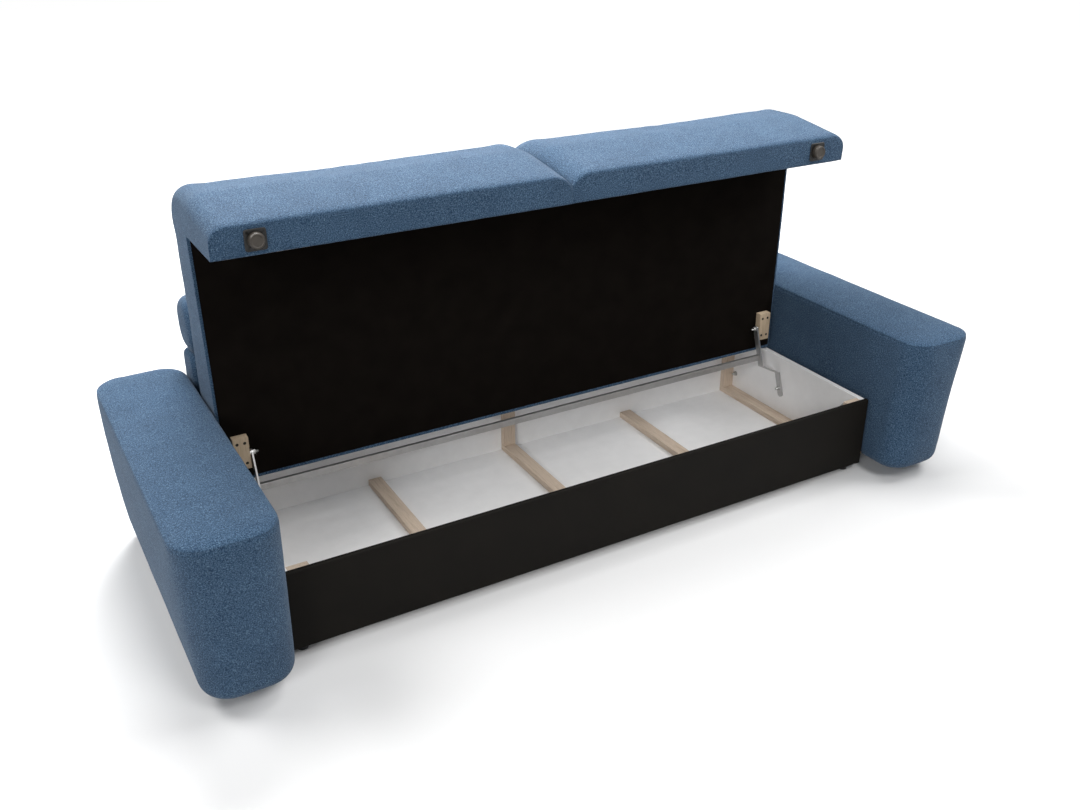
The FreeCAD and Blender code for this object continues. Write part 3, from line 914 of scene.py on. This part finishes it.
# Fasteners: one mould each, put at its places by geometry nodes
def makePlacingTree():
    # Copies of a mould at every point, along the point's way and turned at random about it
    tree = bpy.data.node_groups.new("placing", "GeometryNodeTree")
    for title, kind in (("Places", "Geometry"), ("Mould", "Object"), ("Largest Turn", "Float"),
                        ("Size", "Float"), ("Seed", "Int"), ("Finish", "Material")):
        tree.interface.new_socket(title, in_out="INPUT", socket_type="NodeSocket" + kind)
    tree.interface.new_socket("Pieces", in_out="OUTPUT", socket_type="NodeSocketGeometry")
    given = tree.nodes.new("NodeGroupInput").outputs
    mould = addNode(tree, "GeometryNodeObjectInfo", {"Object": given["Mould"]})
    way = addNode(tree, "GeometryNodeInputNamedAttribute", {"Name": "way"}, data_type="FLOAT_VECTOR")
    aim = addNode(tree, "FunctionNodeAlignRotationToVector", {"Vector": way.outputs["Attribute"]}, axis="Z")
    spin = addNode(tree, "FunctionNodeRandomValue", {"Seed": given["Seed"]}, data_type="FLOAT")
    angle = calc(tree, "MULTIPLY", spin.outputs["Value"], given["Largest Turn"])
    turn = addNode(tree, "FunctionNodeAxisAngleToRotation", {"Axis": (0, 0, 1), "Angle": angle})
    both = addNode(tree, "FunctionNodeRotateRotation", {"Rotation": aim.outputs[0],
                                                        "Rotate By": turn.outputs[0]}, rotation_space="LOCAL")
    placed = addNode(tree, "GeometryNodeInstanceOnPoints",
                     {"Points": given["Places"], "Instance": mould.outputs["Geometry"],
                      "Rotation": both.outputs[0], "Scale": given["Size"]})
    real = addNode(tree, "GeometryNodeRealizeInstances", {"Geometry": placed.outputs["Instances"]})
    painted = addNode(tree, "GeometryNodeSetMaterial", {"Geometry": real.outputs["Geometry"],
                                                        "Material": given["Finish"]})
    tree.links.new(painted.outputs["Geometry"], tree.nodes.new("NodeGroupOutput").inputs["Pieces"])
    return tree


placingTree = makePlacingTree()


def putAt(name, mould, places, finish, seed, largestTurn=6.28):
    # places are (spot, way)
    mesh = bpy.data.meshes.new(name)
    mesh.from_pydata([spot for spot, _ in places], [], [])
    way = mesh.attributes.new("way", "FLOAT_VECTOR", "POINT")
    for k, (_, direction) in enumerate(places):
        way.data[k].vector = direction
    piece = link(name, mesh)
    modifier = piece.modifiers.new("placing", "NODES")
    modifier.node_group = placingTree
    values = {"Mould": mould, "Largest Turn": largestTurn, "Size": 1.0, "Seed": seed, "Finish": finish}
    for item in placingTree.interface.items_tree:
        if item.in_out == "INPUT" and item.name in values:
            modifier[item.identifier] = values[item.name]
    settle(piece)
    bpy.data.objects.remove(mould)
    return piece


def islands(node):
    # The middle of each separate solid in a node
    work = bmesh.new()
    work.from_mesh(nodes[node].data)
    bmesh.ops.remove_doubles(work, verts=work.verts, dist=mm(0.001))
    left = set(work.verts)
    found = []
    while left:
        group = [left.pop()]
        for vertex in group:
            for edge in vertex.link_edges:
                other = edge.other_vert(vertex)
                if other in left:
                    left.remove(other)
                    group.append(other)
        low = Vector([min(v.co[i] for v in group) for i in range(3)])
        high = Vector([max(v.co[i] for v in group) for i in range(3)])
        found.append((low + high) / 2)
    work.free()
    return sorted(found, key=tuple)


boltLook = {"across": 0.013, "nutHeight": 0.0065, "radius": 0.004, "thread": 0.00125, "threadDepth": 0.0006,
            "washer": 0.009}
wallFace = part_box("side_wall_right")[0].x
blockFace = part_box("hinge_block_right")[0].x


def nutMould(look, washers, start):
    # Chamfered hexagon nut; washers are (from, to) along the bolt
    half = look["across"] / 2
    crown = half * 0.95
    top = start + look["nutHeight"]
    bore = look["radius"]

    def corner(angle):
        return half / math.cos((angle + math.pi / 6) % (math.pi / 3) - math.pi / 6)

    def drop(angle):
        return (corner(angle) - crown) * 0.58

    nut = turned("mould", [(bore, start), (crown, start), (corner, lambda a: start + drop(a)),
                           (corner, lambda a: top - drop(a)), (crown, top), (bore, top)], 48)
    rim = look["washer"]
    for low, high in washers:
        edge = min(mm(0.25), (high - low) / 3)
        ring = turned("ring", [(bore, low), (rim - edge, low), (rim, low + edge),
                               (rim, high - edge), (rim - edge, high), (bore, high)], 32)
        joined = bmesh.new()
        joined.from_mesh(nut.data)
        joined.from_mesh(ring.data)
        joined.to_mesh(nut.data)
        joined.free()
        bpy.data.objects.remove(ring)
    return nut


def boltMould(look, back, end, head):
    # Shank from back to the threaded end, with a round head at the back where head is its thickness
    r = look["radius"]
    profile = [(0, back), (look["washer"] - mm(1), back), (look["washer"], back + head * 0.4),
               (look["washer"], back + head), (r, back + head)] if head else [(0, back), (r, back)]
    ridge = end - mm(1) - look["thread"] * 10
    for k in range(11):
        profile.append((r, ridge + look["thread"] * k))
        profile.append((r - look["threadDepth"], ridge + look["thread"] * (k + 0.5)))
    profile += [(r - mm(0.9), end), (0, end)]
    return turned("mould", profile, 20)


def inward(nodeName, face):
    # Bolt places on the plane that the washers lie on, pointing to the sofa's middle
    found = []
    for middle in islands(nodeName):
        sign = 1 if middle.x > 0 else -1
        found.append((Vector((sign * face, middle.y, middle.z)), Vector((-sign, 0, 0))))
    return found


# Measured along each bolt from the face that its first washer lies on
boltSets = {"arm": {"bolts": "arm_bolts", "nuts": "arm_nuts", "face": wallFace, "back": -0.036, "end": 0.0171,
                    "head": 0.004, "nutStart": 0.0016, "washers": [(0, 0.0016)]},
            "lever": {"bolts": "lever_pivots", "nuts": "lever_pivot_nuts", "face": wallFace,
                      "back": -0.0178, "end": 0.0228, "head": 0.0041, "nutStart": 0.0073,
                      "washers": [(0, 0.0017)]},
            "seat": {"bolts": "seat_pivots", "nuts": "seat_pivot_nuts", "face": blockFace, "back": -0.044,
                     "end": 0.0264, "head": 0.0, "nutStart": 0.0109,
                     "washers": [(0, 0.0037), (0.0093, 0.0109)]}}
for name, kit in boltSets.items():
    places = inward(kit["bolts"], kit["face"])
    bolt = boltMould(boltLook, kit["back"], kit["end"], kit["head"])
    standFor(putAt(name + "Bolts", bolt, places, zinc, 3), zinc, kit["bolts"])
    nut = nutMould(boltLook, kit["washers"], kit["nutStart"])
    standFor(putAt(name + "Nuts", nut, places, zinc, 11), zinc, kit["nuts"])


def crossPit(angle):
    # Plan of a cross recess
    slant = abs((angle + math.pi / 4) % (math.pi / 2) - math.pi / 4)
    return mm(2.3) / math.cos(slant) if math.tan(slant) < 0.24 else mm(0.55) / math.sin(slant)


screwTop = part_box("hinge_block_right")[0].y - mm(0.3)
screwPlaces = [(Vector((spot.x, screwTop, spot.z)), Vector((0, -1, 0))) for spot in islands("block_screws")]
screwProfile = [(0, -mm(22)), (mm(1.9), -mm(19)), (mm(2), -mm(3.6)), (mm(4.4), -mm(1.2)), (mm(4.6), -mm(0.3)),
                (mm(4.3), 0), (crossPit, 0), (crossPit, -mm(1.4)), (0, -mm(1.8))]
screwMould = turned("mould", screwProfile, 48)
standFor(putAt("blockScrews", screwMould, screwPlaces, darkSteel, 5), darkSteel, "block_screws")
print("fasteners ready")


# Round glides on the apron, their plates, and the feet
glideLook = {"rim": 0.0165, "dish": 0.0022, "corner": 0.007, "edge": 0.0012}


def buildGlide(side, look):
    low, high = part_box("glide_" + side)
    radius = (high.x - low.x) / 2
    height = high.y - low.y
    middle = (low + high) / 2
    rim = look["rim"]
    dish = height - look["dish"]
    profile = [(0, 0), (radius, 0), (radius, height * 0.55), (radius - mm(0.7), height * 0.78),
               (radius - mm(2.6), height - mm(0.5)), (rim, height), (rim - mm(1.6), height - mm(0.5)),
               (rim - mm(3.2), dish), (0, dish - mm(0.3))]
    glide = turned("glide" + side.title(), profile, 48, (middle.x, high.y, middle.z), (0, -1, 0))
    standFor(glide, glidePlastic, "glide_" + side)


def buildGlidePlate(side, look):
    low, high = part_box("glide_plate_" + side)
    half = (high.x - low.x) / 2
    thick = high.y - low.y

    def edgeOf(inset):
        def radius(angle):
            # Square with rounded corners
            slant = abs((angle + math.pi / 4) % (math.pi / 2) - math.pi / 4)
            flat = (half - inset) / math.cos(slant)
            reach = (half - inset - look["corner"]) * math.sqrt(2)
            off = math.pi / 4 - slant
            span = look["corner"] ** 2 - (reach * math.sin(off)) ** 2
            return min(flat, reach * math.cos(off) + math.sqrt(span)) if span > 0 else flat
        return radius

    profile = [(0, 0), (edgeOf(0), 0), (edgeOf(0), thick - look["edge"]), (edgeOf(look["edge"]), thick),
               (edgeOf(mm(4)), thick), (edgeOf(mm(4.6)), thick - mm(0.6)), (0, thick - mm(0.6))]
    middle = (low + high) / 2
    plate = turned("glidePlate" + side.title(), profile, 96, (middle.x, high.y, middle.z), (0, -1, 0))
    standFor(plate, platePlastic, "glide_plate_" + side)


def buildFoot(end, side):
    node = "foot_" + end + "_" + side
    low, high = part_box(node)
    wide = (high.x - low.x) / 2
    middle = (low + high) / 2
    profile = [(0, 0), (wide - mm(3.5), 0), (wide - mm(1), mm(1)), (wide, mm(3)), (wide - mm(1.2), mm(20)),
               (wide, mm(22)), (wide, high.z), (0, high.z)]
    foot = turned("foot" + end.title() + side.title(), profile, 40, (middle.x, middle.y, 0))
    standFor(foot, blackPlastic, node)


for side in sides:
    buildGlide(side, glideLook)
    buildGlidePlate(side, glideLook)
    for end in ("front", "rear"):
        buildFoot(end, side)
print("glides and feet ready")


# Black cover under the seat and up the inside of the apron
coverLook = {"rearHalf": 0.9965, "frontHalf": 1.0015, "start": 0.0125, "sag": 0.0011, "pucker": 0.0004,
             "pitch": 0.048, "thickness": 0.0006, "off": 0.001, "foldOff": 0.00045, "foldStart": 0.0025,
             "foldWidth": 0.014, "foldWave": 0.0005, "foldShare": 0.997, "sagReach": 0.15,
             "puckerReach": 0.02}
apronInside = apronFace - mm(1.4)
flatRun = apronInside - coverLook["start"]
dropRun = apronDrop - mm(12)


def coverPoint(look, share, along):
    # share runs across the sofa from -1 to 1; along from the rear edge over the fold and down the apron
    s = min(look["start"] + along, apronInside)
    h = max(0, along - flatRun)
    half = look["rearHalf"] + (look["frontHalf"] - look["rearHalf"]) * s / apronInside
    x = share * half
    total = flatRun + dropRun
    edge = min(half - abs(x), along, total - along, abs(along - flatRun))
    off = look["sag"] * unevenness(Vector((x * 2.2, along * 2.6, 3.7))) * min(1, edge / look["sagReach"])
    wave = math.sin(2 * math.pi * (x + along) / look["pitch"])
    off += look["pucker"] * wave * math.exp(-edge / look["puckerReach"])
    if h == 0:
        return Vector((x, faceY - look["off"] - max(0, off), rearZ + s))
    return Vector((x, faceY - h, rearZ + s - max(0, off)))


def foldPoint(look, share, along):
    # Blue cloth of the pads turned over the seat's rear edge
    wave = unevenness(Vector((share * 9, along * 5, 1.3)))
    return Vector((share * look["frontHalf"] * look["foldShare"], faceY - look["foldOff"],
                   rearZ + look["foldStart"] + along + look["foldWave"] * wave))


def buildSheet(name, look, spot, runs, across, finish, node):
    # A thin cloth over a grid of spots; runs are distances along it
    wide = across + 1
    verts = [spot(look, 2 * i / across - 1, along) for along in runs for i in range(wide)]
    faces = [(j * wide + i, j * wide + i + 1, (j + 1) * wide + i + 1, (j + 1) * wide + i)
             for j in range(len(runs) - 1) for i in range(across)]
    mesh = bpy.data.meshes.new(name)
    mesh.from_pydata(verts, [], faces)
    sheet = link(name, mesh)
    thick = sheet.modifiers.new("thickness", "SOLIDIFY")
    thick.thickness = look["thickness"]
    thick.offset = -1
    settle(sheet)
    shadeSmooth(sheet.data, 40)
    paintWith(sheet, finish)
    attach(sheet, bodyOf(node))
    return sheet


coverRuns = [flatRun * k / 44 for k in range(45)] + [flatRun + dropRun * k / 14 for k in range(1, 15)]
seatCover = buildSheet("seatCover", coverLook, coverPoint, coverRuns, 150, blackFelt, "seat_cover")
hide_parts("seat_cover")
buildSheet("seatFold", coverLook, foldPoint, [coverLook["foldWidth"] * k / 4 for k in range(5)],
           160, blueCloth, "seat_pad_left")
print("seat cover ready")


# Boards, battens, blocks, levers and the bar: how far each is eased, and its finish
eased = {"floor_batten": (0.0014, woodAlong["y"]), "rear_post": (0.0014, woodAlong["z"]),
         "corner_block": (0.0012, woodAlong["z"]), "hinge_block": (0.0013, blockWood),
         "side_wall": (0.0006, whiteBoard), "rear_wall": (0.0006, whiteBoard),
         "back_bearer": (0.0015, woodAlong["x"]), "lever_left": (0.0006, satinSteel),
         "lever_right": (0.0006, satinSteel), "cross_bar": (0.0016, satinSteel)}
for name in list(nodes):
    for start, (ease, finish) in eased.items():
        if name.startswith(start):
            easeEdges(name, ease, finish)

finishes = {"front_panel": blackCloth, "floor_panel": hardboard, "seat_board": rawBoard,
            "apron_board": rawBoard, "arm_board": rawBoard, "back_board": rawBoard}
for name, node in nodes.items():
    for start, finish in finishes.items():
        if name.startswith(start):
            paintWith(node, finish)
print("rigid pieces finished")
